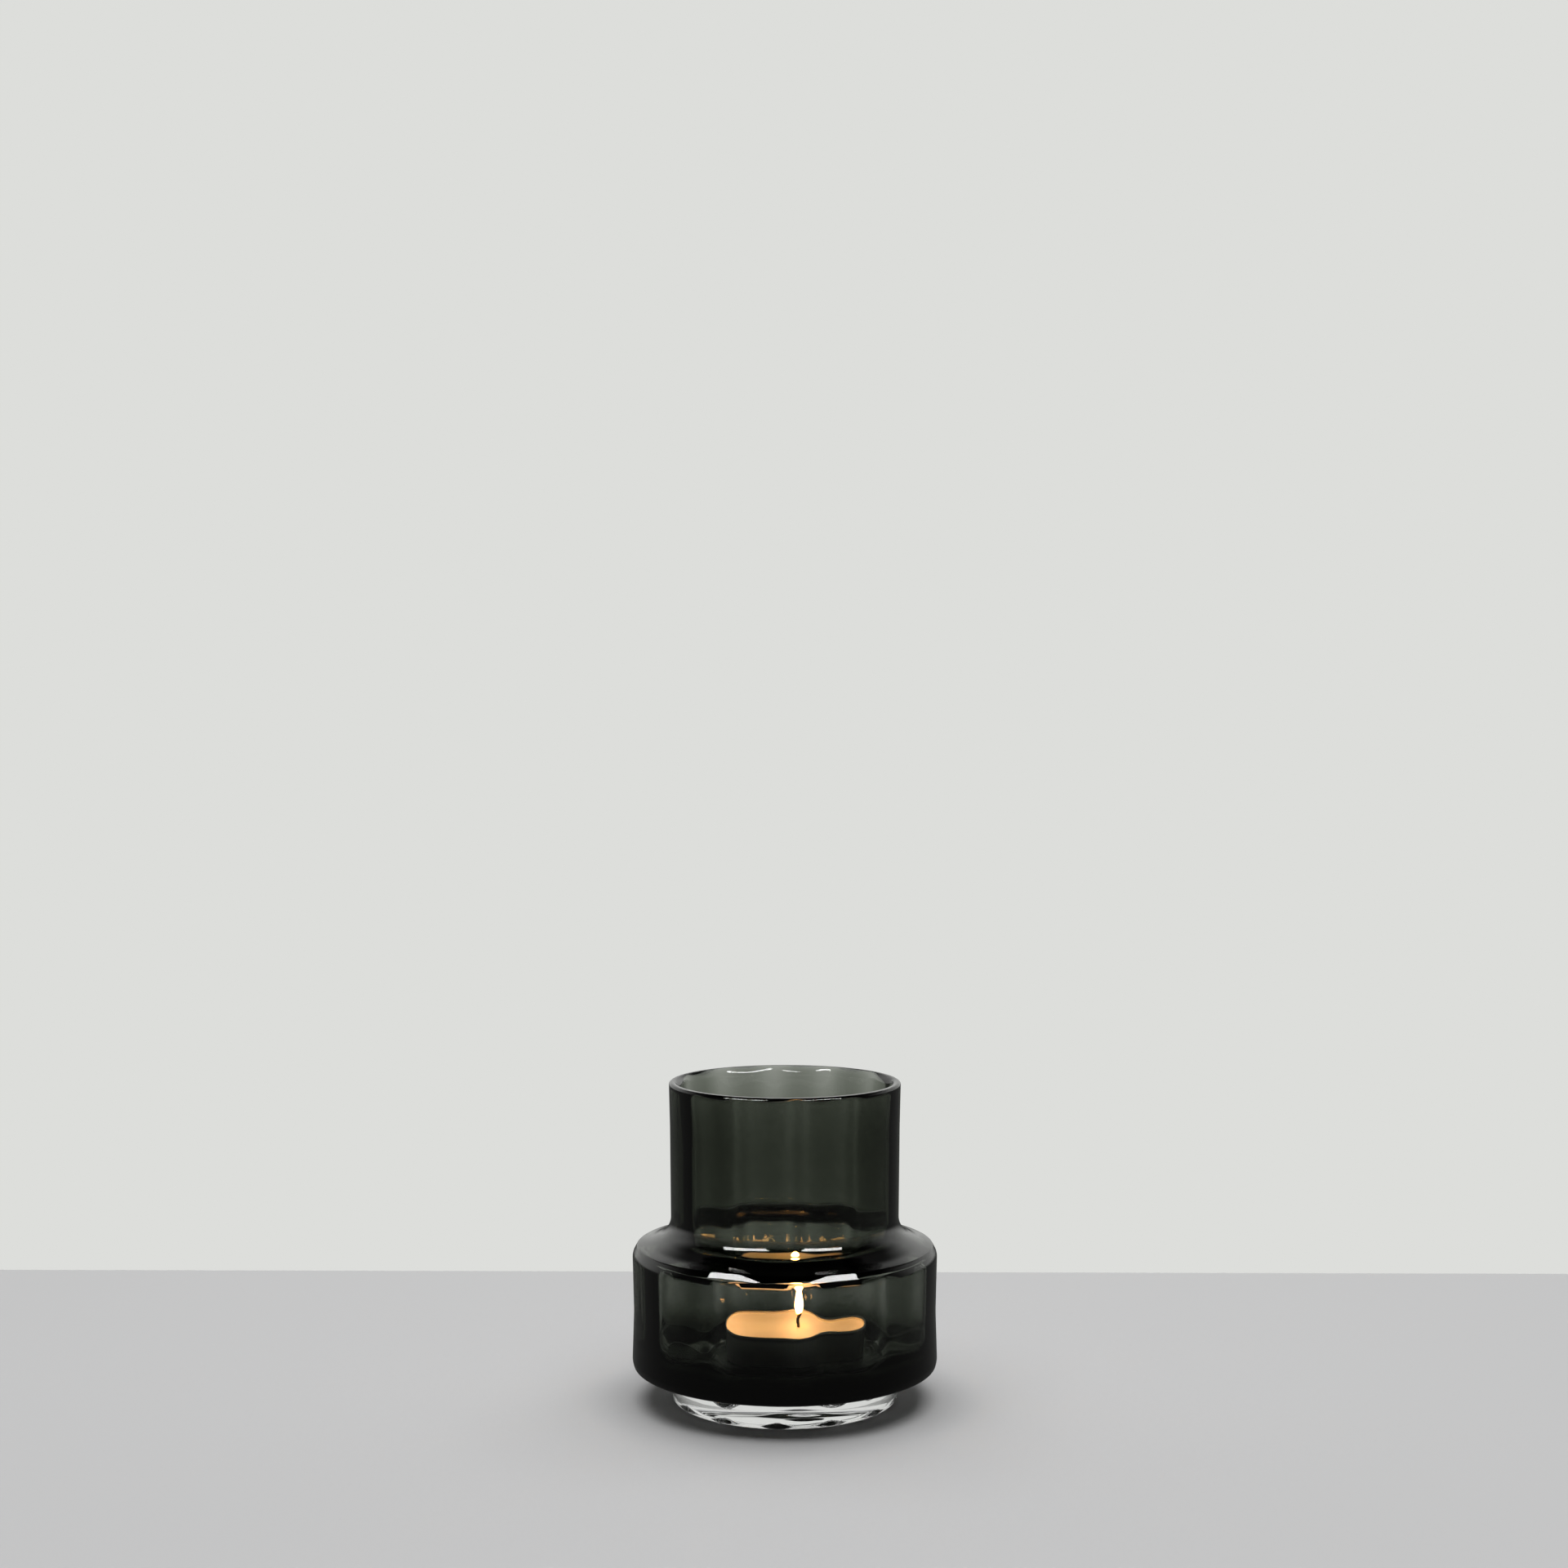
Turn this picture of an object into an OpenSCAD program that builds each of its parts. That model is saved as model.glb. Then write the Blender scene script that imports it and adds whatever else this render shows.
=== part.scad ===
// Tealight holder: a mouth-blown vessel of smoked glass, fused to a foot of clear glass,
// with a tealight standing inside it. The neck is narrower than the squat body. The outside
// is smooth, and optic ribs run up the inside.
// Millimetres, +Z up. The origin is the centre of the foot's underside, on the glass's axis.

/* [Vessel outside] */
// Height of the rim above the table
rim_h = 100; // [94:1:106]
// Radius of the glass at the rim
rim_r = 36.65; // [36.4:0.05:37]
// Radius at the bottom of the neck, where it is narrowest
neck_r = 35.95; // [35.8:0.05:36.2]
// Radius of the body at its shoulder and at its lower turn
body_r = 48.1; // [47.6:0.1:50]
// Height of the shoulder's outer edge
shoulder_h = 48.1; // [45:0.1:52]
// How far the shoulder climbs from its outer edge to the neck
shoulder_rise = 5.1; // [4.5:0.1:6]

/* [Vessel inside] */
// Wall of the neck at the bottom of a flute
neck_wall = 3.0; // [2.6:0.1:3.2]
// Wall of the body at the bottom of a flute
body_wall = 2.4; // [2.2:0.1:3]
// Height of the floor that the tealight stands on
floor_h = 9.5; // [9.2:0.1:11]
// Number of ribs inside the vessel
rib_count = 12; // [8:1:16]
// How far a rib stands into the vessel
rib_depth = 1.5; // [0.8:0.1:2]
// Turn of the first rib from +X, in degrees
rib_turn = 24.2; // [0:0.1:30]

/* [Foot] */
// Radius of the clear foot where it meets the vessel
foot_r = 35.7; // [34:0.1:36.5]
// Height of the foot at its edge
foot_h = 8; // [7:0.1:8.6]
// Depth of the rounded seat that the vessel's bottom makes in the foot
seat_dip = 1.5; // [0.5:0.1:2.5]

/* [Tealight] */
// Diameter over the cup's lip
cup_d = 38.2; // [37:0.1:39.5]
// Height of the cup
cup_h = 13; // [12:0.1:17]
// Thickness of the cup's foil
foil_t = 0.3; // [0.2:0.05:0.4]
// How far the wax lies below the lip
wax_drop = 0.8; // [0.4:0.1:3]
// Diameter of the wick
wick_d = 1.6; // [1.2:0.1:2]
// Height of the wick above the wax
wick_up = 4.2; // [3.8:0.1:9]
// Where the tealight stands on the floor, from the axis
tealight_at = [1.4, 3.5]; // [-4:0.1:4]

/* [Hidden] */

$fn = 96;
cut = 1;                                // how far a cutting shape runs past what it cuts
arc_steps = 8;                          // straight runs in each rounded corner
dish_steps = 6;                         // straight runs across the foot's seat

waist_in = 0.45;                        // how much slimmer the body is between its two turns
waist_h = 27.9;
turn_h = 12.9;                          // height of the body's lower turn
under_r = body_r - 0.5;                 // the underside's outer edge
under_h = foot_h + 2.7;
foot_taper = 0.3;                       // the foot is this much slimmer at the table
foot_round = 1.2;

neck_bore = rim_r - 0.65 - neck_wall;   // radius to the bottom of a flute
body_bore = body_r - body_wall;
floor_r = 36;                           // the floor is flat to about here
rib_crown = 0.53;                       // radius of a rib's crest, as a share of the bore

cup_r = cup_d / 2;
lip_t = 0.6;                            // the rolled lip, square in section
wall_r = cup_r - 0.3;                   // outside of the cup's wall, just under the lip
base_r = cup_r - 0.8;                   // outside of the cup's wall at its base
wax_h = cup_h - wax_drop;
collar_r = 1.5;                         // the sustainer's crimped collar
collar_h = 3.5;
tab_r = 6.5;                            // the sustainer's round tab
tab_t = 0.3;
wick_r = wick_d / 2;
bend_r = 4;                             // the burnt end of the wick bends on this radius
bend_angle = 42;

function unit(v) = v / norm(v);

// Points of the arc that rounds the corner at b, between a and c. The third number is the radius.
function corner(a, b, c) =
    b[2] == 0 ? [[b.x, b.y]] :
    let (
        at = [b.x, b.y],
        u = unit([a.x, a.y] - at),
        w = unit([c.x, c.y] - at),
        half = acos(u * w) / 2,
        centre = at + unit(u + w) * b[2] / sin(half),
        p = at + u * b[2] / tan(half) - centre,
        q = at + w * b[2] / tan(half) - centre,
        start = atan2(p.y, p.x),
        turn = (atan2(q.y, q.x) - start + 540) % 360 - 180
    )
    [for (k = [0 : arc_steps])
        let (angle = start + turn * k / arc_steps)
        centre + b[2] * [cos(angle), sin(angle)]];

// A closed outline from its corners, each [radius from the axis, height, rounding]
function outline(v) =
    let (n = len(v))
    [for (i = [0 : n - 1]) each corner(v[(i + n - 1) % n], v[i], v[(i + 1) % n])];

// The rounded seat between the vessel and the foot, from the axis outwards
seat = [for (k = [0 : dish_steps])
    let (share = k / dish_steps)
    [foot_r * share, foot_h - seat_dip * (1 - share * share), 0]];
seat_inwards = [for (k = [dish_steps : -1 : 0]) seat[k]];

vessel_outside = outline(concat(seat, [
    [under_r, under_h, 1.3],
    [body_r, turn_h, 4.5],
    [body_r - waist_in, waist_h, 0],
    [body_r, shoulder_h, 3.3],
    [body_r - 5.3, shoulder_h + 1.6, 10],
    [neck_r, shoulder_h + shoulder_rise, 7.2],
    [rim_r - 0.35, rim_h - 14, 0],
    [rim_r, rim_h, 0.8],
    [0, rim_h, 0]
]));

body_inside = outline([
    [0, floor_h, 0],
    [floor_r, floor_h, 12],
    [body_bore, floor_h + 6, 6],
    [body_bore - waist_in, waist_h, 0],
    [body_bore, shoulder_h - 2.9, 3.5],
    [body_bore - 4.4, shoulder_h - 1.2, 8],
    [neck_bore - 1, shoulder_h + 2.8, 0],
    [0, shoulder_h + 2.8, 0]
]);

foot_outline = outline(concat([
    [0, 0, 0],
    [foot_r - foot_taper, 0, foot_round]
], seat_inwards));

cup_outline = outline([
    [0, 0, 0],
    [base_r, 0, 1.2],
    [wall_r, cup_h - lip_t, 0],
    [cup_r, cup_h - lip_t, 0],
    [cup_r, cup_h, 0],
    [wall_r - foil_t, cup_h, 0],
    [base_r - foil_t, foil_t, 1],
    [0, foil_t, 0]
]);

// Inside of the cup's wall at the wax's surface
wax_r = base_r - foil_t + (wall_r - base_r) * (wax_h - foil_t) / (cup_h - foil_t);

wax_outline = outline([
    [wick_r, wax_h, 0],
    [wick_r, collar_h, 0],
    [collar_r, collar_h, 0],
    [collar_r, foil_t + tab_t, 0],
    [tab_r, foil_t + tab_t, 0],
    [tab_r, foil_t, 0],
    [base_r - foil_t, foil_t, 1],
    [wax_r, wax_h, 0]
]);

sustainer_outline = outline([
    [wick_r, foil_t, 0],
    [tab_r, foil_t, 0],
    [tab_r, foil_t + tab_t, 0],
    [collar_r, foil_t + tab_t, 0],
    [collar_r, collar_h, 0],
    [wick_r, collar_h, 0]
]);

// The bore of the ribbed glass: a circle with a rounded rib taken out of it at each step
module ribbed_bore(bore_r) {
    crest_r = rib_crown * bore_r;
    difference() {
        circle(bore_r);
        for (k = [0 : rib_count - 1])
            rotate(rib_turn + 360 * k / rib_count)
                translate([bore_r - rib_depth + crest_r, 0])
                    circle(crest_r);
    }
}

module on_floor() {
    translate([tealight_at.x, tealight_at.y, floor_h]) children();
}

// Smoked glass: neck, shoulder, body and floor in one blown piece
module glass_vessel() {
    color([0.17, 0.2, 0.17, 0.75])
    difference() {
        rotate_extrude() polygon(vessel_outside);
        translate([0, 0, shoulder_h - 3])
            linear_extrude(rim_h - shoulder_h + 3 + cut)
                ribbed_bore(neck_bore);
        intersection() {
            rotate_extrude() polygon(body_inside);
            linear_extrude(rim_h) ribbed_bore(body_bore);
        }
    }
}

// Clear glass disc that the vessel is fused to
module clear_foot() {
    color([0.93, 0.95, 0.96, 0.5])
    rotate_extrude() polygon(foot_outline);
}

// Drawn foil cup with its rolled lip
module tealight_cup() {
    color("silver")
    on_floor() rotate_extrude() polygon(cup_outline);
}

// Wax cast round the wick and its sustainer
module wax() {
    color([0.98, 0.75, 0.42])
    on_floor() rotate_extrude() polygon(wax_outline);
}

// Steel tab and collar that hold the wick upright on the cup's base
module wick_sustainer() {
    color("gray")
    on_floor() rotate_extrude() polygon(sustainer_outline);
}

// Cotton wick, straight through the wax and bent over where it burns
module wick() {
    straight_h = wax_h + wick_up - bend_r * sin(bend_angle);
    color([0.25, 0.1, 0.06])
    on_floor() {
        translate([0, 0, foil_t]) cylinder(h = straight_h - foil_t, r = wick_r);
        translate([bend_r, 0, straight_h])
            mirror([1, 0, 0])
                rotate([90, 0, 0])
                    rotate_extrude(angle = bend_angle)
                        translate([bend_r, 0]) circle(wick_r);
    }
}

glass_vessel();
clear_foot();
tealight_cup();
wax();
wick_sustainer();
wick();
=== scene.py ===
"""Smoked glass tealight holder on a clear glass foot, with a lit tealight inside.

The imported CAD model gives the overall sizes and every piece's place. The glass pieces are turned
on a lathe in mesh code from outlines close to the CAD model's, with ribs blown into the inside and
the small unevenness of hand-made glass. All lengths are in metres.
"""
import math

import bmesh
import bpy
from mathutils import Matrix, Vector


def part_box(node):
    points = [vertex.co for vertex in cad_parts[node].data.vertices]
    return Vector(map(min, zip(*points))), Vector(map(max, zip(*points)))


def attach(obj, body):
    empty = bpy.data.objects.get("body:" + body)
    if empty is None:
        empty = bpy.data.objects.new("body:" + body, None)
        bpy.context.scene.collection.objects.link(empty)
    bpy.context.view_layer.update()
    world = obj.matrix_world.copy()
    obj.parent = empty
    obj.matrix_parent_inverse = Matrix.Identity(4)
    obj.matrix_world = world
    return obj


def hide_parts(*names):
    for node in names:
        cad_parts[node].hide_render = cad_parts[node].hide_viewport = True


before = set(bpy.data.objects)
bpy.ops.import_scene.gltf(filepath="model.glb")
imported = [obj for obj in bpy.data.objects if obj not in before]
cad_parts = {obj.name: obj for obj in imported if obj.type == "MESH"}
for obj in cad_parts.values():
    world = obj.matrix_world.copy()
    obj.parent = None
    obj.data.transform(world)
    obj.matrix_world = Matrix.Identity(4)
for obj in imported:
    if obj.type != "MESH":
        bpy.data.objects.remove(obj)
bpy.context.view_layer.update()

MM = 0.001
TAU = 2 * math.pi

# ---------------------------------------------------------------- sizes read from the frame
VESSEL_HIGH = Vector(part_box("glass_vessel")[1])
FOOT_HIGH = Vector(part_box("clear_foot")[1])
CUP_LOW, CUP_HIGH = (Vector(p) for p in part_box("tealight_cup"))
WAX_LOW, WAX_HIGH = (Vector(p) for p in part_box("wax"))
WICK_LOW, WICK_HIGH = (Vector(p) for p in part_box("wick"))

RIM_H = VESSEL_HIGH.z
BODY_R = VESSEL_HIGH.x
FOOT_R = FOOT_HIGH.x
FOOT_H = FOOT_HIGH.z
FLOOR_H = CUP_LOW.z
TEALIGHT = Vector(((CUP_LOW.x + CUP_HIGH.x) / 2, (CUP_LOW.y + CUP_HIGH.y) / 2, FLOOR_H))
CUP_R = (CUP_HIGH.x - CUP_LOW.x) / 2
CUP_H = CUP_HIGH.z - CUP_LOW.z
WAX_R = (WAX_HIGH.x - WAX_LOW.x) / 2
WAX_H = WAX_HIGH.z - CUP_LOW.z
WICK_R = (WICK_HIGH.y - WICK_LOW.y) / 2
WICK_H = WICK_HIGH.z - CUP_LOW.z

# ---------------------------------------------------------------- sizes of the glass
RIM_R = 36.65 * MM
NECK_R = 35.95 * MM
SHOULDER_H = 48.1 * MM
WAIST_H = 27.9 * MM
WAIST_IN = 0.45 * MM         # how much slimmer the body is between its two turns
RIBS = 12
RIB_TURN = math.radians(21.7)
TURNS = RIBS * 24            # steps round the lathe
ARC_STEP = math.radians(4)   # steps round a rounded corner


# ---------------------------------------------------------------- outlines
def unit(x, y):
    size = math.hypot(x, y)
    return x / size, y / size


def corner(a, b, c):
    """Points of the arc that rounds the corner at b, between a and c. b[2] is the radius."""
    if not b[2]:
        return [(b[0], b[1])]
    u = unit(a[0] - b[0], a[1] - b[1])
    w = unit(c[0] - b[0], c[1] - b[1])
    half = math.acos(max(-1, min(1, u[0] * w[0] + u[1] * w[1]))) / 2
    middle = unit(u[0] + w[0], u[1] + w[1])
    reach = b[2] / math.sin(half)
    cx, cy = b[0] + middle[0] * reach, b[1] + middle[1] * reach
    cut = b[2] / math.tan(half)
    px, py = b[0] + u[0] * cut - cx, b[1] + u[1] * cut - cy
    qx, qy = b[0] + w[0] * cut - cx, b[1] + w[1] * cut - cy
    start = math.atan2(py, px)
    turn = (math.atan2(qy, qx) - start + math.pi) % TAU - math.pi
    steps = max(3, round(abs(turn) / ARC_STEP))
    arc = []
    for k in range(steps + 1):
        angle = start + turn * k / steps
        arc.append((cx + b[2] * math.cos(angle), cy + b[2] * math.sin(angle)))
    return arc


def outline(corners, step):
    """An open outline [(r, z)] through corners (r, z, rounding), with no run longer than step."""
    points = [corners[0][:2]]
    for a, b, c in zip(corners, corners[1:], corners[2:]):
        points += corner(a, b, c)
    points.append(corners[-1][:2])
    dense = [points[0]]
    for p, q in zip(points, points[1:]):
        runs = max(1, math.ceil(math.dist(p, q) / step))
        for k in range(1, runs + 1):
            dense.append((p[0] + (q[0] - p[0]) * k / runs, p[1] + (q[1] - p[1]) * k / runs))
    return dense


def smooth_step(x):
    x = max(0.0, min(1.0, x))
    return x * x * (3 - 2 * x)


# ---------------------------------------------------------------- mesh helpers
def new_piece(name, verts, faces, material):
    mesh = bpy.data.meshes.new(name)
    mesh.from_pydata(verts, [], faces)
    mesh.validate()
    bm = bmesh.new()
    bm.from_mesh(mesh)
    bmesh.ops.recalc_face_normals(bm, faces=bm.faces)
    bm.to_mesh(mesh)
    bm.free()
    mesh.materials.append(material)
    for face in mesh.polygons:
        face.use_smooth = True
    piece = bpy.data.objects.new(name, mesh)
    bpy.context.scene.collection.objects.link(piece)
    return piece


def lathe(name, profile, turns, material, shape=None, centre=(0, 0, 0)):
    """Turns profile [(r, z)] about the upright axis through centre. Ends on the axis close up.
    shape(i, angle) gives the point of row i at that angle as (r, z)."""
    verts, faces, rows = [], [], []
    for i, (r, z) in enumerate(profile):
        on_axis = r < 1e-7
        row = []
        for k in range(1 if on_axis else turns):
            angle = TAU * k / turns
            pr, pz = shape(i, angle) if shape else (r, z)
            row.append(len(verts))
            verts.append((centre[0] + pr * math.cos(angle),
                          centre[1] + pr * math.sin(angle), centre[2] + pz))
        rows.append(row)
    for low, high in zip(rows, rows[1:]):
        for k in range(turns):
            n = (k + 1) % turns
            if len(low) == 1:
                faces.append((low[0], high[k], high[n]))
            elif len(high) == 1:
                faces.append((low[k], low[n], high[0]))
            else:
                faces.append((low[k], low[n], high[n], high[k]))
    return new_piece(name, verts, faces, material)


# ---------------------------------------------------------------- materials
def principled(name, **values):
    material = bpy.data.materials.new(name)
    material.use_nodes = True
    shader = material.node_tree.nodes["Principled BSDF"]
    for key, value in values.items():
        shader.inputs[key.replace("_", " ")].default_value = value
    return material, material.node_tree.nodes, material.node_tree.links, shader


def object_coords(nodes):
    return nodes.new("ShaderNodeTexCoord").outputs["Object"]


def noise(nodes, links, vector, size, detail=4.0, stretch=None):
    """Noise whose grain is about size metres. stretch scales the grain along x, y and z."""
    if stretch:
        mapping = nodes.new("ShaderNodeMapping")
        links.new(vector, mapping.inputs["Vector"])
        mapping.inputs["Scale"].default_value = stretch
        vector = mapping.outputs["Vector"]
    node = nodes.new("ShaderNodeTexNoise")
    links.new(vector, node.inputs["Vector"])
    node.inputs["Scale"].default_value = 1 / size
    node.inputs["Detail"].default_value = detail
    return node.outputs["Fac"]


def blend_colours(nodes, links, factor, low_colour, high_colour, low=0.3, high=0.7):
    ramp = nodes.new("ShaderNodeValToRGB")
    links.new(factor, ramp.inputs["Fac"])
    ramp.color_ramp.elements[0].position = low
    ramp.color_ramp.elements[0].color = (*low_colour, 1)
    ramp.color_ramp.elements[1].position = high
    ramp.color_ramp.elements[1].color = (*high_colour, 1)
    return ramp.outputs["Color"]


def map_range(nodes, links, source, low, high, at_low, at_high):
    """A node that takes source from low..high to at_low..at_high. Returns its output."""
    node = nodes.new("ShaderNodeMapRange")
    node.interpolation_type = "SMOOTHSTEP"
    links.new(source, node.inputs["Value"])
    node.inputs["From Min"].default_value = low
    node.inputs["From Max"].default_value = high
    node.inputs["To Min"].default_value = at_low
    node.inputs["To Max"].default_value = at_high
    return node.outputs["Result"]


def add_bump(nodes, links, shader, height, depth, strength=0.6):
    bump = nodes.new("ShaderNodeBump")
    bump.inputs["Strength"].default_value = strength
    bump.inputs["Distance"].default_value = depth
    links.new(height, bump.inputs["Height"])
    links.new(bump.outputs["Normal"], shader.inputs["Normal"])


RIPPLE_DEPTH = 0.06 * MM         # of the soft ripple on the glass


def glass(name, absorb_per_mm=None):
    """Hand-blown glass, clear or smoked. Smoked glass takes away this much light per millimetre
    (r, g, b). Faint upright cords in the melt and a soft ripple bend what is seen through it."""
    material, nodes, links, shader = principled(
        name, Roughness=0.0, IOR=1.5, Transmission_Weight=1.0)
    coords = object_coords(nodes)
    cords = noise(nodes, links, coords, 5 * MM, 2.0, (1, 1, 0.25))
    links.new(blend_colours(nodes, links, cords, (0.96, 0.97, 0.965), (1, 1, 1)),
              shader.inputs["Base Color"])
    ripple = noise(nodes, links, coords, 11 * MM, 1.0, (1, 1, 0.6))
    add_bump(nodes, links, shader, ripple, RIPPLE_DEPTH, 0.5)
    if absorb_per_mm:
        strongest = max(absorb_per_mm) * 1.5
        volume = nodes.new("ShaderNodeVolumeAbsorption")
        volume.inputs["Density"].default_value = strongest / MM
        volume.inputs["Color"].default_value = (*[1 - a / strongest for a in absorb_per_mm], 1)
        links.new(volume.outputs["Volume"], nodes["Material Output"].inputs["Volume"])
    return material


SMOKED = glass("smoked_glass", (0.396, 0.378, 0.413))
CLEAR = glass("clear_glass")

# ---------------------------------------------------------------- smoked vessel
RIB_HALF = math.radians(20.4)    # from the crest of a rib to where it has faded out
FLUTE = 0.33                     # height left midway between two ribs, as a share of a full rib
NECK_WALL = 3.2 * MM             # the neck with no rib on it
NECK_RIB = 1.8 * MM              # how far a full rib stands into the neck
BODY_WALL = 1.4 * MM             # the body with no rib on it
BODY_RIB = 2.25 * MM
UNDER_RIB = 1.0 * MM             # how far a full rib stands up from the floor or the shoulder
RIB_START = 24 * MM              # the ribs fade out inside this radius, clear of the tealight
RIB_FULL = 38 * MM               # and are full outside this one
WEAK = 0.35                      # share that the weakest rib has lost
WEAK_AT = math.radians(322)
WEAK_SPREAD = 0.3                # in radians
FLARE = 6.0 * MM                 # how far the bore opens out above the shoulder, at the back
FLARE_H = 6 * MM
FLARE_REACH = 11.5 * MM

RIM_FACE = 1.8 * MM              # width of the rim's top, with its rounded outer edge
LIP_H = 2.7 * MM                 # height of the fire-polished curve from the rim into the bore
RIM_BAND = 3.4 * MM              # height over which the bore eases from upright into its taper
RIM_ROWS = 26                    # rows of the mesh in that height
BORE_TAPER = 16 * MM             # depth below the rim at which the taper meets the straight bore

LIFT_LEFT = 0.8 * MM             # how much higher the shoulder stands on either side of the front
LIFT_LEFT_AT = math.radians(249)
LIFT_RIGHT = 0.45 * MM
LIFT_RIGHT_AT = math.radians(290)
LIFT_SPREAD = 0.27               # in radians

SEAT_Z = 4.0 * MM                # height of the joint with the foot, at its middle
SEAT_FLAT = 20 * MM              # radius of the flat middle
SEAT_ROUND = 40 * MM             # rounding from the flat middle into the slope
SEAT_EDGE = FOOT_R - 0.45 * MM   # where the seat ends and the edge of the joint is rounded
SEAT_WAVE = 2.0 * MM             # depth of the joint's waves
WAVE_FROM = 24 * MM              # the waves begin at this radius
WAVE_IN = 5 * MM                 # and grow to full depth over this much
WAVE_EDGE = 2.5 * MM             # width over which they die out towards the edge
FOOT_TWIST = math.radians(4)     # how far the foot's waves have turned away from the ribs
UNDER_RING = 31 * MM             # radius of the ring of dimples in the foot's underside
UNDER_SLOPE = 2 * MM             # how far the dimples reach in and out from that ring
UNDER_RECESS = 1.2 * MM          # depth of a dimple under a rib
UNDER_SHARE = 0.2                # share of that depth all round the ring


def rib_height(angle):
    """How far the blown ribs stand out at this angle, from FLUTE between two ribs to 1 on one."""
    total = 0.0
    for k in range(RIBS):
        away = (angle - RIB_TURN - TAU * k / RIBS + math.pi) % TAU - math.pi
        if abs(away) < RIB_HALF:
            total += math.cos(math.pi / 2 * away / RIB_HALF) ** 2
    return total


def shoulder_lift(angle):
    """The hand-finished shoulder stands a little higher on either side of the front."""
    left = (angle - LIFT_LEFT_AT + math.pi) % TAU - math.pi
    right = (angle - LIFT_RIGHT_AT + math.pi) % TAU - math.pi
    return (LIFT_LEFT * math.exp(-(left / LIFT_SPREAD) ** 2)
            + LIFT_RIGHT * math.exp(-(right / LIFT_SPREAD) ** 2))


def crest(angle):
    """0 between two ribs and 1 on the crest of one."""
    return max(0.0, (rib_height(angle) - FLUTE) / (1 - FLUTE)) ** 2


def seat_wave(r, angle):
    """How far the joint with the foot leaves its smooth dish at this place. It dips under each rib,
    as hot glass gathered onto a ribbed vessel would, and more under some ribs than others."""
    window = smooth_step((r - WAVE_FROM) / WAVE_IN) * smooth_step((SEAT_EDGE - r) / WAVE_EDGE)
    uneven = 0.62 + 0.38 * math.cos(4 * (angle - RIB_TURN - math.radians(210)))
    swirl = 0.25 * math.sin(5 * angle + 0.8) + 0.15 * math.sin(17 * angle)
    return -SEAT_WAVE * window * (crest(angle - FOOT_TWIST) * uneven + swirl)


def seat():
    """The dish between the vessel and the foot, from the axis outwards. Both pieces are made from
    these same rows, so that they follow each other exactly."""
    edge_z = SEAT_Z + (FOOT_H - SEAT_Z) * (SEAT_EDGE - SEAT_FLAT) / (FOOT_R - SEAT_FLAT)
    return outline([
        (0, SEAT_Z, 0),
        (SEAT_FLAT, SEAT_Z, SEAT_ROUND),
        (SEAT_EDGE, edge_z, 0),
    ], 1.2 * MM)


def vessel_outside():
    dish = seat()
    return dish[:-1] + outline([
        (*dish[-1], 0),
        (FOOT_R, FOOT_H, 0.3 * MM),
        (BODY_R - 0.5 * MM, FOOT_H + 2.7 * MM, 1.3 * MM),
        (BODY_R, 12.9 * MM, 4.5 * MM),
        (BODY_R - WAIST_IN, WAIST_H, 40 * MM),
        (BODY_R, SHOULDER_H - 2.0 * MM, 4 * MM),
        (BODY_R - 1.45 * MM, SHOULDER_H + 0.6 * MM, 0.9 * MM),
        (BODY_R - 5.3 * MM, SHOULDER_H + 1.6 * MM, 10 * MM),
        (NECK_R, SHOULDER_H + 5.1 * MM, 7.2 * MM),
        (RIM_R - 0.35 * MM, RIM_H - 14 * MM, 60 * MM),
        (RIM_R, RIM_H, 0.9 * MM),
        (RIM_R - RIM_FACE, RIM_H, 0),
    ], 2 * MM)


def vessel_inside():
    """The inside with its ribs left out, from the rim down to the middle of the floor."""
    body_in = BODY_R - BODY_WALL
    neck_in = NECK_R - NECK_WALL
    top = RIM_R - 2.1 * MM
    slope = (top - neck_in) / (BORE_TAPER - RIM_BAND / 2)
    rim = []
    for k in range(1, RIM_ROWS):
        down = RIM_BAND * k / RIM_ROWS
        rim.append((top - slope * down * down / (2 * RIM_BAND), RIM_H - down))
    return rim + outline([
        (top - slope * RIM_BAND / 2, RIM_H - RIM_BAND, 0),
        (neck_in, RIM_H - BORE_TAPER, 60 * MM),
        (neck_in, SHOULDER_H + 0.3 * MM, 1.8 * MM),
        (body_in, SHOULDER_H - 0.8 * MM, 1.3 * MM),
        (body_in - WAIST_IN, WAIST_H, 40 * MM),
        (body_in - 0.8 * MM, FLOOR_H + 7.6 * MM, 11 * MM),
        (32.5 * MM, FLOOR_H, 18 * MM),
        (0, FLOOR_H, 0),
    ], 1.6 * MM)


def back_flare(r, z, angle):
    """The bore opens out into the body more softly at the back than at the front."""
    behind = smooth_step((math.sin(angle) + 0.2) / 0.9)
    above = min(1.0, max(0.0, (z - SHOULDER_H + 0.8 * MM) / FLARE_H))
    beyond = min(1.0, max(0.0, (r - NECK_R + NECK_WALL) / FLARE_REACH))
    return FLARE * behind * (1 - above) ** 2 * (1 - beyond) ** 2 * (z > WAIST_H)


def rib_pushes(inside):
    """For each row of the inside, the way (r, z) in which a full rib moves it into the bore."""
    pushes = []
    for i, (r, z) in enumerate(inside):
        a, b = inside[max(0, i - 1)], inside[min(len(inside) - 1, i + 1)]
        along = unit(b[0] - a[0], b[1] - a[1])
        nr, nz = (along[1], -along[0]) if along[1] < 0 else (-along[1], along[0])
        if nr > -1e-6 and z < SHOULDER_H / 2:
            nr, nz = 0.0, 1.0
        wall = NECK_RIB if z > SHOULDER_H else BODY_RIB
        deep = wall * nr * nr + UNDER_RIB * nz * nz
        deep *= smooth_step((r - RIB_START) / (RIB_FULL - RIB_START))
        pushes.append((nr * deep, nz * deep))
    return pushes


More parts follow.
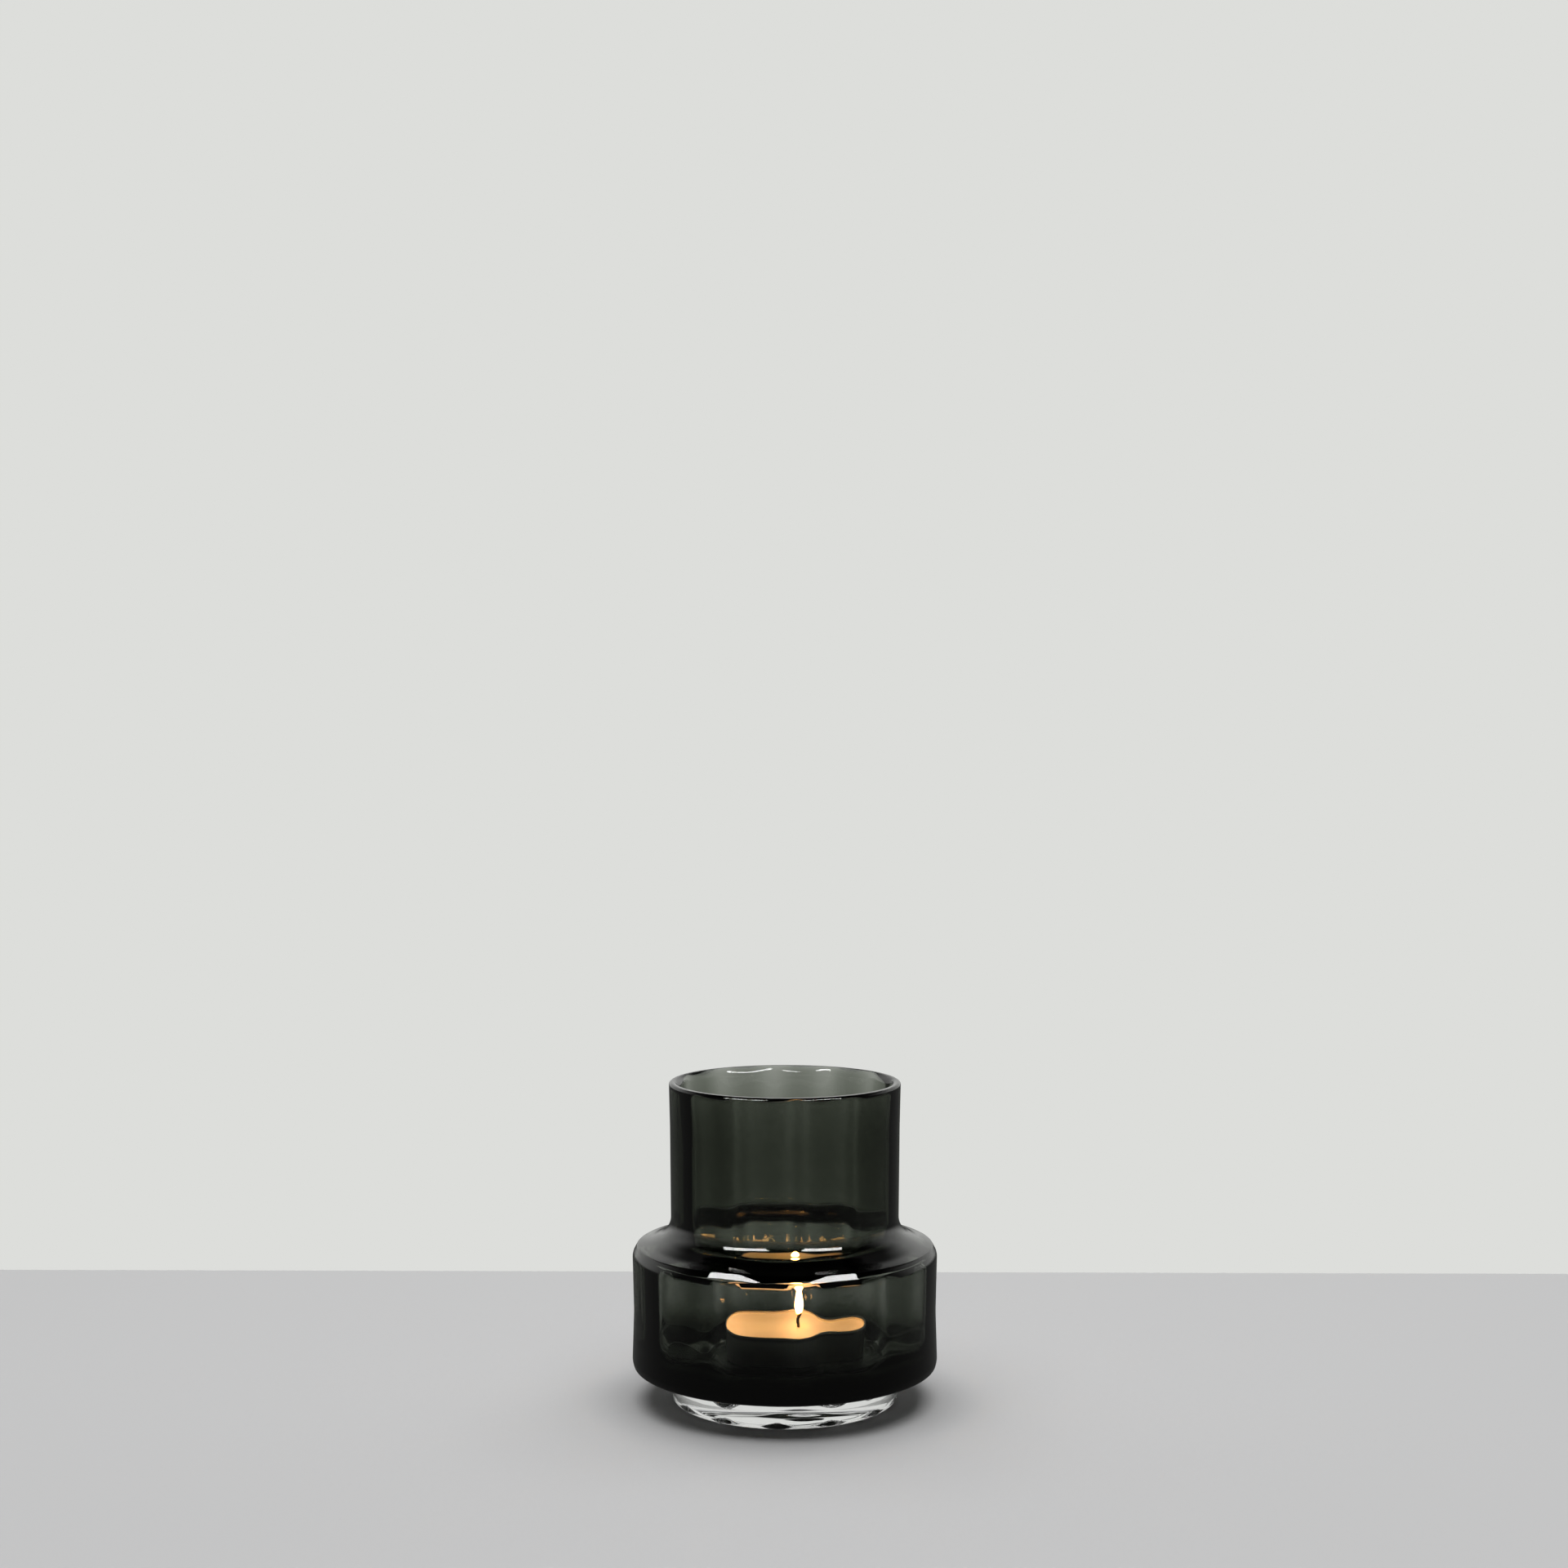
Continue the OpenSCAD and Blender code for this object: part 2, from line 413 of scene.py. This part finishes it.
def make_vessel():
    outside, inside = vessel_outside(), vessel_inside()
    pushes = rib_pushes(inside)
    first_in = len(outside)
    seat_rows = len(seat())

    def shape(i, angle):
        if i < first_in:
            r, z = outside[i]
            # The lift grows towards the shoulder's edge from below and is gone again above it
            fade = smooth_step((z - SHOULDER_H + 6 * MM) / (5 * MM))
            fade *= 1 - smooth_step((z - SHOULDER_H - 1.5 * MM) / (3 * MM))
            if i < seat_rows:
                z += seat_wave(r, angle)
            return r, z + shoulder_lift(angle) * fade
        r, z = inside[i - first_in]
        r += back_flare(r, z, angle)
        weaker = WEAK * math.exp(-((angle - WEAK_AT) / WEAK_SPREAD) ** 2)
        height = rib_height(angle) * (1 - weaker)
        r += pushes[i - first_in][0] * height
        z += pushes[i - first_in][1] * height
        lip = max(0.0, 1 - (RIM_H - z) / LIP_H) ** 2.5
        return r + (RIM_R - RIM_FACE - r) * lip, z

    piece = lathe("smoked_vessel", outside + inside, TURNS, SMOKED, shape)
    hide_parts("glass_vessel")
    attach(piece, "holder")


# ---------------------------------------------------------------- clear foot
def make_foot():
    gap = 0.02 * MM              # keeps the foot's glass and the vessel's from sharing a surface
    dish = [(r, z - gap) for r, z in reversed(seat())]
    side = outline([
        (0, 0, 0),
        (FOOT_R - 0.3 * MM, 0, 1.2 * MM),
        (FOOT_R, FOOT_H - gap, 0.3 * MM),
        (*dish[0], 0),
    ], 1.2 * MM)[:-1]
    profile = side + dish

    def shape(i, angle):
        r, z = profile[i]
        if i >= len(side):
            return r, z + seat_wave(r, angle)
        if z < 0.01 * MM:
            ring = math.exp(-((r - UNDER_RING) / UNDER_SLOPE) ** 2)
            z += UNDER_RECESS * ring * (UNDER_SHARE + crest(angle - FOOT_TWIST))
        return r, z

    piece = lathe("clear_foot_glass", profile, TURNS, CLEAR, shape)
    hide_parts("clear_foot")
    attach(piece, "holder")


# ---------------------------------------------------------------- tealight materials
def thin_metal(name, dark, pale, rough_low, rough_high):
    """Rolled sheet metal: fine lengthways grain, handling marks and uneven sheen."""
    material, nodes, links, shader = principled(name, Metallic=1.0)
    coords = object_coords(nodes)
    grain = noise(nodes, links, coords, 0.35 * MM, 6.0, (1, 1, 0.08))
    marks = noise(nodes, links, coords, 4 * MM, 3.0, (1, 1, 0.35))
    links.new(blend_colours(nodes, links, marks, dark, pale), shader.inputs["Base Color"])
    links.new(map_range(nodes, links, marks, 0.35, 0.65, rough_low, rough_high),
              shader.inputs["Roughness"])
    add_bump(nodes, links, shader, grain, 0.02 * MM, 0.35)
    return material


def wax_with_painted_glow():
    """Melted wax whose glow is painted light: the flame's light in the wax is painted as the wax's
    own emission, brightest round the wick.
    """
    # Emission Strength paints the flame's light in the wax as a glow of the wax's own
    material, nodes, links, shader = principled(
        "candle_wax", IOR=1.44, Emission_Strength=2.5, Subsurface_Radius=(0.004, 0.003, 0.002))
    coords = object_coords(nodes)
    clouds = noise(nodes, links, coords, 6 * MM, 3.0)
    links.new(blend_colours(nodes, links, clouds, (0.86, 0.78, 0.62), (0.93, 0.88, 0.76)),
              shader.inputs["Base Color"])
    links.new(map_range(nodes, links, clouds, 0.35, 0.65, 0.05, 0.12), shader.inputs["Roughness"])
    away = nodes.new("ShaderNodeVectorMath")
    away.operation = "DISTANCE"
    links.new(coords, away.inputs[0])
    away.inputs[1].default_value = (TEALIGHT.x, TEALIGHT.y, TEALIGHT.z + WAX_H)
    wavy = nodes.new("ShaderNodeMath")
    wavy.operation = "MULTIPLY_ADD"
    links.new(clouds, wavy.inputs[0])
    wavy.inputs[1].default_value = 5 * MM
    links.new(away.outputs["Value"], wavy.inputs[2])
    # Painted glow: the emission colour is palest and brightest near the wick, with a cloudy edge
    near = map_range(nodes, links, wavy.outputs[0], 3 * MM, WAX_R, 1.0, 0.0)
    links.new(blend_colours(nodes, links, near, (0.86, 0.37, 0.10), (0.94, 0.47, 0.155), 0.0, 1.0),
              shader.inputs["Emission Color"])
    add_bump(nodes, links, shader, noise(nodes, links, coords, 4 * MM, 2.0), 0.08 * MM, 0.3)
    return material


def charred_cotton():
    """Braided wick: burnt black at the top, waxy grey-brown where it leaves the wax."""
    material, nodes, links, shader = principled("charred_wick", Roughness=0.85)
    coords = object_coords(nodes)
    split = nodes.new("ShaderNodeSeparateXYZ")
    links.new(coords, split.inputs["Vector"])
    burnt = map_range(nodes, links, split.outputs["Z"], TEALIGHT.z + WAX_H - 0.5 * MM,
                      TEALIGHT.z + WAX_H + 1.5 * MM, 0.0, 1.0)
    links.new(blend_colours(nodes, links, burnt, (0.16, 0.10, 0.055), (0.012, 0.010, 0.009),
                            0.0, 1.0), shader.inputs["Base Color"])
    strands = nodes.new("ShaderNodeTexWave")
    strands.bands_direction = "DIAGONAL"
    strands.inputs["Scale"].default_value = 700
    strands.inputs["Distortion"].default_value = 2.0
    links.new(coords, strands.inputs["Vector"])
    add_bump(nodes, links, shader, strands.outputs["Fac"], 0.15 * MM, 0.8)
    return material


def flame_glow():
    """A candle flame: dim orange at its foot, brightest in the middle, fading at its tip."""
    material, nodes, links, shader = principled(
        "flame_light", Base_Color=(0, 0, 0, 1), Roughness=1.0, Specular_IOR_Level=0.0)
    split = nodes.new("ShaderNodeSeparateXYZ")
    links.new(object_coords(nodes), split.inputs["Vector"])
    foot = FLAME_FOOT.z
    up = nodes.new("ShaderNodeMapRange")
    links.new(split.outputs["Z"], up.inputs["Value"])
    up.inputs["From Min"].default_value = foot
    up.inputs["From Max"].default_value = foot + FLAME_H
    ramp = nodes.new("ShaderNodeValToRGB")
    links.new(up.outputs["Result"], ramp.inputs["Fac"])
    stops = ramp.color_ramp.elements
    stops[0].position, stops[0].color = 0.0, (1.0, 0.26, 0.03, 1)
    stops[1].position, stops[1].color = 1.0, (1.0, 0.40, 0.10, 1)
    for place, colour in ((0.12, (1.0, 0.34, 0.06, 1)), (0.3, (1.0, 0.46, 0.14, 1)),
                          (0.75, (1.0, 0.50, 0.17, 1))):
        stop = stops.new(place)
        stop.color = colour
    links.new(ramp.outputs["Color"], shader.inputs["Emission Color"])
    rising = map_range(nodes, links, up.outputs["Result"], 0.0, 0.4, 3.0, FLAME_POWER)
    fading = map_range(nodes, links, up.outputs["Result"], 0.6, 1.0, 1.0, 0.12)
    strength = nodes.new("ShaderNodeMath")
    strength.operation = "MULTIPLY"
    links.new(rising, strength.inputs[0])
    links.new(fading, strength.inputs[1])
    links.new(strength.outputs[0], shader.inputs["Emission Strength"])
    return material


# ---------------------------------------------------------------- tealight
FLAME_H = 10.2 * MM
FLAME_R = 4.8 * MM               # before the taper, which leaves it slimmer
FLAME_POWER = 180.0              # emission strength of its brightest part
FLAME_FOOT = Vector((TEALIGHT.x + 1.1 * MM, TEALIGHT.y, TEALIGHT.z + WICK_H - 1.7 * MM))
ALUMINIUM = thin_metal("tealight_aluminium", (0.66, 0.66, 0.67), (0.71, 0.71, 0.72), 0.32, 0.37)
TINNED = thin_metal("tinned_steel", (0.56, 0.55, 0.53), (0.64, 0.63, 0.61), 0.30, 0.38)


def make_cup():
    """Deep-drawn foil cup: rounded foot, base pressed up in its middle, faintly pleated wall and a
    rolled lip."""
    wall, bead = 0.22 * MM, 0.42 * MM
    pressed = 0.5 * MM           # how far the middle of the base stands above the floor
    out_r = CUP_R - bead * 0.9
    outside = outline([
        (0, pressed, 0),
        (CUP_R * 0.5, pressed, 1.0 * MM),
        (CUP_R * 0.56, 0, 0.8 * MM),
        (CUP_R - 1.0 * MM, 0, 1.4 * MM),
        (out_r, CUP_H - 2 * bead, 0),
    ], 0.8 * MM)
    lip = []
    for k in range(13):
        turn = math.radians(-90 + 25 * k)
        lip.append((out_r + bead * 0.1 + bead * math.cos(turn),
                    CUP_H - bead + bead * math.sin(turn)))
    inside = outline([
        (out_r - wall, CUP_H - 2.2 * bead, 0),
        (CUP_R - 1.0 * MM - wall, wall, 1.2 * MM),
        (CUP_R * 0.56, wall, 0.8 * MM),
        (CUP_R * 0.5, pressed + wall, 1.0 * MM),
        (0, pressed + wall, 0),
    ], 0.8 * MM)
    profile = outside + lip + inside

    def shape(i, angle):
        r, z = profile[i]
        on_wall = smooth_step((z - 1.0 * MM) / (2 * MM)) * smooth_step((CUP_H - 1.2 * MM - z) / MM)
        pleat = 0.5 * math.cos(60 * angle) + 0.3 * math.sin(23 * angle + 900 * z)
        return r - (0.045 * MM * (1.6 + pleat)) * on_wall * (r > CUP_R * 0.8), z

    piece = lathe("tealight_foil_cup", profile, 360, ALUMINIUM, shape,
                  (TEALIGHT.x, TEALIGHT.y, TEALIGHT.z))
    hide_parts("tealight_cup")
    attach(piece, "tealight")


def make_wax():
    """The wax fills the cup, with a liquid skin that climbs the foil and the wick."""
    rim = CUP_R - 0.9 * MM
    under = 0.75 * MM            # its underside, just clear of the cup's raised base
    steps = 40
    profile = [(0, under), (rim - 2.0 * MM, under), (rim - 1.1 * MM, 2.0 * MM),
               (rim - 0.5 * MM, 6.0 * MM), (rim, CUP_H * 0.8)]
    for k in range(steps + 1):
        r = rim * (1 - k / steps)
        climb = 0.35 * math.exp(-(rim - r) / (0.9 * MM)) + 0.3 * math.exp(-r / (1.1 * MM))
        profile.append((r, WAX_H - 0.35 * MM + climb * MM))

    def shape(i, angle):
        r, z = profile[i]
        return r, z + 0.05 * MM * math.sin(3 * angle + r * 400) * smooth_step(r / rim) * (i > 4)

    piece = lathe("candle_wax", profile, 120, wax_with_painted_glow(), shape,
                  (TEALIGHT.x, TEALIGHT.y, TEALIGHT.z))
    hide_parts("wax")
    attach(piece, "tealight")


def make_wick():
    """A burnt wick that leans one way and curls over at its tip."""
    bottom, top = 1.2 * MM, WICK_H
    stand = top - WAX_H
    spine = [Vector((0, 0, bottom)), Vector((0.9 * MM, -0.4 * MM, WAX_H - 0.4 * MM)),
             Vector((0.4 * MM, -0.8 * MM, WAX_H + 0.35 * stand)),
             Vector((1.0 * MM, -1.1 * MM, WAX_H + 0.65 * stand)),
             Vector((2.1 * MM, -1.2 * MM, WAX_H + 0.86 * stand)),
             Vector((3.0 * MM, -1.1 * MM, WAX_H + 0.93 * stand))]
    path = []
    for k in range(len(spine) - 1):
        a = spine[max(0, k - 1)]
        b, c = spine[k], spine[k + 1]
        d = spine[min(len(spine) - 1, k + 2)]
        for step in range(8):
            t = step / 8
            path.append(0.5 * ((2 * b) + (c - a) * t + (2 * a - 5 * b + 4 * c - d) * t * t
                               + (3 * b - a - 3 * c + d) * t ** 3))
    path.append(spine[-1])
    around = 20
    verts, faces = [], []
    for i, point in enumerate(path):
        ahead = path[min(len(path) - 1, i + 1)] - path[max(0, i - 1)]
        side = Vector((0, 1, 0)).cross(ahead).normalized()
        across = ahead.cross(side).normalized()
        thin = 0.75 + 0.25 * smooth_step((len(path) - 1 - i) / 12)
        for k in range(around):
            angle = TAU * k / around
            braid = 1 + 0.10 * math.cos(3 * angle + i * 0.9) + 0.05 * math.sin(5 * angle - i * 1.7)
            radius = WICK_R * 1.2 * thin * braid
            spot = point + side * radius * math.cos(angle) + across * radius * math.sin(angle)
            verts.append(tuple(spot + TEALIGHT))
    for i in range(len(path) - 1):
        for k in range(around):
            n = (k + 1) % around
            faces.append((i * around + k, i * around + n, (i + 1) * around + n,
                          (i + 1) * around + k))
    faces.append(tuple(range(around)))
    faces.append(tuple(range((len(path) - 1) * around, len(path) * around)))
    piece = new_piece("charred_wick", verts, faces, charred_cotton())
    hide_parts("wick")
    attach(piece, "tealight")


def make_sustainer():
    """The CAD tab and collar that hold the wick keep their shape and get tinned steel."""
    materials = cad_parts["wick_sustainer"].data.materials
    materials.clear()
    materials.append(TINNED)


def make_flame():
    """A teardrop flame and the small lamp inside it that lights the glass."""
    rows = 36
    profile = [(0, 0)]
    for k in range(1, rows):
        s = k / rows
        swell = math.sin(math.pi * min(1, s * 1.9) / 2) ** 0.7
        profile.append((FLAME_R * (1 - s) ** 0.75 * swell, FLAME_H * s))
    profile.append((0, FLAME_H))

    def lean(z):
        return 0.25 * MM * math.sin(2.2 * z / FLAME_H + 0.4)

    piece = lathe("flame", profile, 40, flame_glow(), None, FLAME_FOOT)
    for vertex in piece.data.vertices:
        vertex.co.x += lean(vertex.co.z - FLAME_FOOT.z)
    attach(piece, "tealight")

    lamp = bpy.data.lights.new("flame_lamp", "POINT")
    lamp.energy = 0.12
    lamp.color = (1.0, 0.50, 0.17)
    lamp.shadow_soft_size = 1.5 * MM
    holder = bpy.data.objects.new("flame_lamp", lamp)
    holder.location = FLAME_FOOT + Vector((0, 0, FLAME_H * 0.45))
    holder.visible_glossy = False
    holder.visible_transmission = False
    holder.parent = piece
    bpy.context.scene.collection.objects.link(holder)


# ---------------------------------------------------------------- studio
BACKDROP = (0.723, 0.730, 0.708)


def make_studio():
    """The table, whose far edge is behind the holder, and the room that the glass reflects."""
    mesh = bpy.data.meshes.new("table_top")
    half, back, front = 3.0, 0.167, -3.0
    skew = 0.033                 # the far edge isn't quite square to the camera
    low = -0.02 * MM
    mesh.from_pydata([(-half, front, low), (half, front, low), (half, back - skew, low),
                      (-half, back + skew, low)], [], [(0, 1, 2, 3)])
    table = bpy.data.objects.new("table_top", mesh)
    bpy.context.scene.collection.objects.link(table)
    material, nodes, links, shader = principled(
        "table_paper", Base_Color=(0.66, 0.66, 0.665, 1), Roughness=0.85,
        Specular_IOR_Level=0.0)
    mesh.materials.append(material)
    table.visible_glossy = False

    world = bpy.data.worlds.new("studio")
    bpy.context.scene.world = world
    world.use_nodes = True
    nodes, links = world.node_tree.nodes, world.node_tree.links
    bright = nodes["Background"]
    bright.inputs["Color"].default_value = (*BACKDROP, 1)

    # Mirror-like rays find a bright wall behind, a dark ceiling and a dark room in front
    room = nodes.new("ShaderNodeBackground")
    room.inputs["Color"].default_value = (*BACKDROP, 1)
    coords = nodes.new("ShaderNodeTexCoord")
    split = nodes.new("ShaderNodeSeparateXYZ")
    links.new(coords.outputs["Generated"], split.inputs["Vector"])
    behind = map_range(nodes, links, split.outputs["Y"], -0.1, 0.6, 0.06, 1.0)
    above = map_range(nodes, links, split.outputs["Z"], 0.35, 0.65, 1.0, 0.08)
    below = map_range(nodes, links, split.outputs["Z"], -0.15, 0.05, 0.0, 1.0)
    from_table = map_range(nodes, links, split.outputs["Z"], -0.15, 0.05, 0.10, 0.0)
    both = nodes.new("ShaderNodeMath")
    both.operation = "MULTIPLY"
    links.new(behind, both.inputs[0])
    links.new(above, both.inputs[1])
    shaded = nodes.new("ShaderNodeMath")
    shaded.operation = "MULTIPLY_ADD"
    links.new(both.outputs[0], shaded.inputs[0])
    links.new(below, shaded.inputs[1])
    links.new(from_table, shaded.inputs[2])
    links.new(shaded.outputs[0], room.inputs["Strength"])
    # Rays that went through glass see the same room, without the dark floor
    seen_through = nodes.new("ShaderNodeBackground")
    seen_through.inputs["Color"].default_value = (*BACKDROP, 1)
    links.new(both.outputs[0], seen_through.inputs["Strength"])
    path = nodes.new("ShaderNodeLightPath")
    shader = bright.outputs[0]
    for kind, background in (("Is Transmission Ray", seen_through), ("Is Reflection Ray", room)):
        mix = nodes.new("ShaderNodeMixShader")
        links.new(path.outputs[kind], mix.inputs["Fac"])
        links.new(shader, mix.inputs[1])
        links.new(background.outputs[0], mix.inputs[2])
        shader = mix.outputs[0]
    links.new(shader, nodes["World Output"].inputs["Surface"])


def softbox(name, azimuth, elevation, distance, width, height, power, highlight=True):
    """A rectangular studio light that looks at the glass's shoulder. Azimuth 0 is the front, and
    a highlight light shows in the glass without lighting the table."""
    light = bpy.data.lights.new(name, "AREA")
    light.shape = "RECTANGLE"
    light.size = width
    light.size_y = height
    light.energy = power
    holder = bpy.data.objects.new(name, light)
    a, e = math.radians(azimuth), math.radians(elevation)
    aim = Vector((0, 0, SHOULDER_H))
    holder.location = aim + distance * Vector((math.sin(a) * math.cos(e),
                                               -math.cos(a) * math.cos(e), math.sin(e)))
    holder.rotation_euler = (aim - holder.location).to_track_quat("-Z", "Y").to_euler()
    holder.visible_diffuse = not highlight
    holder.visible_transmission = False
    holder.visible_glossy = highlight
    holder.visible_camera = False
    bpy.context.scene.collection.objects.link(holder)


def make_camera():
    """The photo's camera, fitted to the ellipses of the holder's rim and foot."""
    data = bpy.data.cameras.new("camera")
    data.sensor_width = 36.0
    data.lens = 49.73
    data.clip_start = 0.01
    camera = bpy.data.objects.new("camera", data)
    camera.location = (-0.26 * MM, -684.11 * MM, 200.96 * MM)
    camera.rotation_euler = (math.radians(90) - 0.01036, 0, 0)
    bpy.context.scene.collection.objects.link(camera)
    bpy.context.scene.camera = camera


def set_render():
    scene = bpy.context.scene
    scene.view_settings.view_transform = "Standard"
    scene.view_settings.look = "None"
    scene.cycles.max_bounces = 32
    scene.cycles.transmission_bounces = 32
    scene.cycles.glossy_bounces = 24
    scene.cycles.diffuse_bounces = 4
    scene.cycles.volume_bounces = 0
    scene.cycles.caustics_reflective = True
    scene.cycles.caustics_refractive = True
    scene.cycles.blur_glossy = 0.0
    scene.cycles.sample_clamp_indirect = 10.0


make_camera()
make_vessel()
make_foot()
make_cup()
make_wax()
make_wick()
make_sustainer()
make_flame()
make_studio()
softbox("front_strip_left", -43, 37, 1.2, 0.87, 0.24, 12)
softbox("front_strip_right", 41, 37, 1.2, 0.76, 0.24, 10.5)
softbox("table_light", 170, 87, 1.8, 2.0, 2.0, 35, highlight=False)
set_render()
